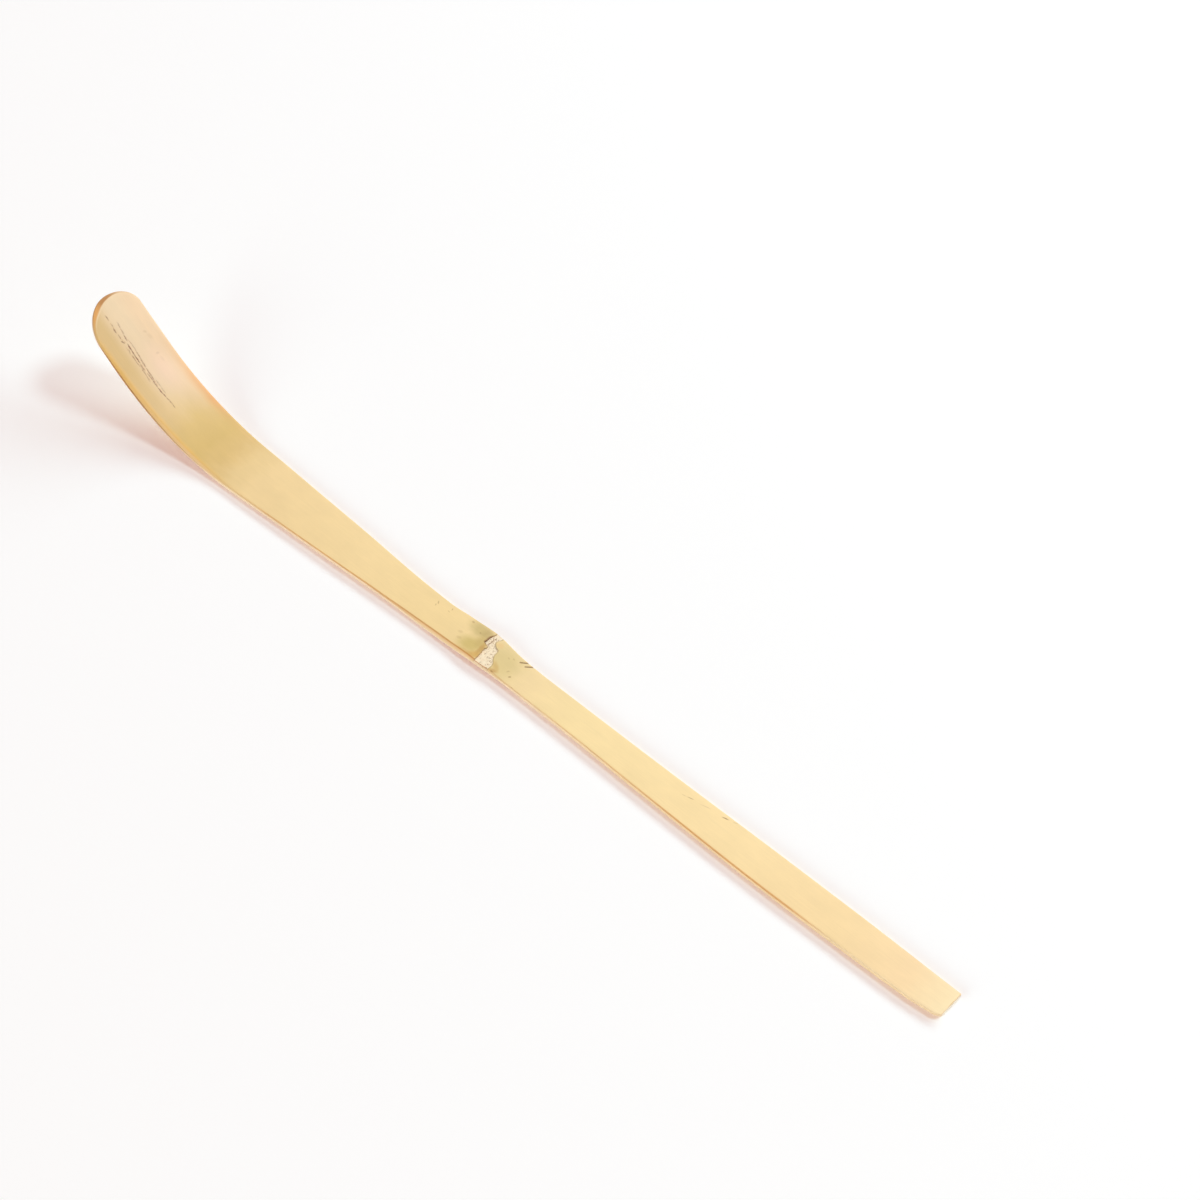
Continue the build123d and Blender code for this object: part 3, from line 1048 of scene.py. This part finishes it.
def bamboo_material(name):
    """Golden bamboo, with its fibres along the strip and the marks that each stretch bears."""
    graph = Graph(name)
    blotch = graph.noise((0.35, 0.5, 0.5))
    fibre = graph.noise((0.12, 6.0, 6.0), detail=4.0, roughness=0.6)
    thread = graph.noise((0.5, 15.0, 15.0), detail=2.0, roughness=0.6)
    cloud = graph.noise((0.16, 0.3, 0.2))
    on_top = graph.step(graph.band, 0.3, 0.0)

    # Tones along the strip, with painted light making the handle's end lighter
    swayed = graph.math("MULTIPLY_ADD", graph.math("SUBTRACT", blotch, 0.5), 3.4, graph.run)
    colour = graph.colours(swayed, skin_tones_and_light)
    colour = bowl_layers(graph, colour, blotch)
    colour = joint_layers(graph, colour)
    colour = edge_layers(graph, colour)
    colour = under_layers(graph, colour)
    colour = nose_layers(graph, colour)
    colour, streak = fibre_layers(graph, colour, on_top)
    colour = scratch_layers(graph, colour, on_top)
    colour = graph.paint(colour, dark_brown, graph.mark, graph.step(graph.run, -60.0, -50.0), 0.92)

    shade = graph.product(graph.varied(fibre, 0.11), graph.varied(thread, 0.05), graph.varied(cloud, 0.14))
    colour = graph.mix(1.0, colour, graph.node("CombineXYZ", shade, shade, shade), "MULTIPLY")

    rough = graph.math("MULTIPLY_ADD", fibre, 0.16, 0.38)
    rough = graph.math("MULTIPLY_ADD", graph.step(graph.band, 0.8, 1.3), 0.2, rough)
    height = graph.math("MULTIPLY_ADD", thread, 0.4, fibre)
    height = graph.math("MULTIPLY_ADD", streak, -0.8, height)
    return graph.surface(colour, rough, height, strength=0.3, distance=0.03 * MM)


def scar_material():
    """Pale torn fibres with the dark ends of the pores."""
    graph = Graph("node_scar")
    grain = graph.noise((2.0, 3.0, 3.0), detail=4.0, roughness=0.6)
    threads = graph.noise((1.2, 9.0, 2.0), roughness=0.6)
    colour = graph.mix(grain, linear(*scar_tone), linear(*scar_pale))
    colour = graph.paint(colour, scar_thread, graph.step(threads, 0.5, 0.72), 0.35)
    edge = graph.near(graph.inward, -0.06, 0.16)
    colour = graph.paint(colour, line_brown, edge, graph.near_side, 0.7)
    # The scar's near wall in the near-wall tone, which is painted paler to stand in for light
    colour = graph.paint(colour, near_wall_tone_and_light, graph.step(graph.inward, -0.14, -0.3), graph.near_side)
    colour = graph.paint(colour, pore_tone, graph.mark)
    rough = graph.math("MULTIPLY_ADD", grain, 0.2, 0.7)
    height = graph.math("ADD", grain, threads)
    return graph.surface(colour, rough, height, strength=0.6, distance=0.05 * MM)


def make_camera():
    """Camera that looks at the strip as in the photograph."""
    target = Vector((2.825, 20.622, 0.0)) * MM
    distance = 489.47 * MM
    elevation, heading, roll = radians(53.346), radians(129.664), radians(3.0955)
    forward = Vector((cos(elevation) * cos(heading), cos(elevation) * sin(heading), -sin(elevation)))
    level = forward.cross(Vector((0, 0, 1))).normalized()
    upright = level.cross(forward)
    right = level * cos(roll) + upright * sin(roll)
    up = right.cross(forward)
    data = bpy.data.cameras.new("camera")
    data.sensor_width = 36.0
    data.lens = 90.8
    data.clip_start, data.clip_end = 0.01, 20.0
    camera = bpy.data.objects.new("camera", data)
    axes = Matrix((right, up, -forward)).transposed()
    camera.matrix_world = Matrix.Translation(target - forward * distance) @ axes.to_4x4()
    bpy.context.scene.collection.objects.link(camera)
    bpy.context.scene.camera = camera


def seen_directly(nodes):
    """1 for what the camera sees, also by a reflection or through glass."""
    path = nodes.node("LightPath")
    seen = path.outputs["Is Camera Ray"]
    for ray in ("Is Glossy Ray", "Is Transmission Ray"):
        seen = nodes.math("MAXIMUM", seen, path.outputs[ray])
    return seen


plain_white = (1.0, 1.0, 1.0, 1.0)
# What the floor reflects, what it adds to warm the shadow, and what it throws back at the object
floor_tone = (0.62, 0.95, 0.96, 1.0)
shadow_glow = (0.39, 0.06, 0.048, 1.0)
bounce_tone = (0.94, 0.9, 0.86, 1.0)
# In metres: half its side, and where it begins and ends to pass into plain white
floor_half = 6.0
fade_start = 0.2
fade_end = 0.45


def make_floor():
    """Plain floor with a warm shadow, which passes into the white background away from the object."""
    mesh = bmesh.new()
    bmesh.ops.create_grid(mesh, x_segments=2, y_segments=2, size=floor_half)
    data = bpy.data.meshes.new("floor")
    mesh.to_mesh(data)
    mesh.free()
    floor = bpy.data.objects.new("floor", data)
    bpy.context.scene.collection.objects.link(floor)
    material = bpy.data.materials.new("floor")
    material.use_nodes = True
    data.materials.append(material)
    nodes = Nodes(material.node_tree)
    matt = nodes.tree.nodes["Principled BSDF"]
    nodes.named(matt, Base_Color=floor_tone, Roughness=0.9, Specular_IOR_Level=0.0)
    lit = nodes.node("AddShader", matt, nodes.node("Emission", shadow_glow))
    away = nodes.distance(nodes.node("TexCoord").outputs["Object"])
    fade = nodes.node("MapRange", away, fade_start, fade_end)
    seen = nodes.node("MixShader", fade, lit, nodes.node("Emission", plain_white))
    bounce = nodes.node("BsdfDiffuse", bounce_tone)
    both = nodes.node("MixShader", seen_directly(nodes), bounce, seen)
    nodes.named(nodes.tree.nodes["Material Output"], Surface=both)


# Light: how far the lamps are in metres, their tints, and the light from all round
lamp_distance = 2.0
cool = (0.97, 1.0, 1.06)
warm = (1.0, 1.0, 0.98)
sky_tone = (1.0, 0.96, 0.84, 1.0)
sky_strength = 0.265


def make_lamp(name, azimuth, elevation, size, share, tint):
    """Soft lamp turned to the strip, which gives a level white surface this share of white.

    The angles are in degrees, and the size is in metres.
    """
    azimuth, elevation = radians(azimuth), radians(elevation)
    place = Vector((cos(azimuth) * cos(elevation), sin(azimuth) * cos(elevation), sin(elevation)))
    data = bpy.data.lights.new(name, "AREA")
    data.shape = "ELLIPSE"
    data.size, data.size_y = size
    data.energy = share * (pi * lamp_distance) ** 2 / sin(elevation)
    data.color = tint
    lamp = bpy.data.objects.new(name, data)
    turned = place.to_track_quat("Z", "Y").to_matrix().to_4x4()
    lamp.matrix_world = Matrix.Translation(place * lamp_distance) @ turned
    bpy.context.scene.collection.objects.link(lamp)


def make_world():
    """Soft light from all round, seen as plain white."""
    world = bpy.data.worlds.new("world")
    bpy.context.scene.world = world
    world.use_nodes = True
    nodes = Nodes(world.node_tree)
    light = nodes.named(nodes.tree.nodes["Background"], Color=sky_tone, Strength=sky_strength)
    seen = nodes.node("Background", plain_white, 1.0)
    both = nodes.node("MixShader", seen_directly(nodes), light, seen)
    nodes.named(nodes.tree.nodes["World Output"], Surface=both)


bpy.context.scene.view_settings.view_transform = "Standard"
make_camera()
make_lamp("key", azimuth=48.0, elevation=56.0, size=(0.55, 0.45), share=0.25, tint=cool)
make_lamp("low", azimuth=76.0, elevation=29.0, size=(3.0, 0.5), share=0.4, tint=cool)
make_lamp("front", azimuth=-100.0, elevation=22.0, size=(1.4, 1.0), share=0.165, tint=warm)
make_world()
make_floor()

skin = bamboo_material("bamboo_skin")
make_bowl().finish("bamboo_skin", skin, "scoop_bowl")
make_blade().finish("bamboo_skin", skin, "blade")
make_node().finish("bamboo_node", bamboo_material("bamboo_node"), "growth_node")
make_scar().finish("node_scar", scar_material(), "node_scar")
make_handle().finish("bamboo_skin", skin, "handle")
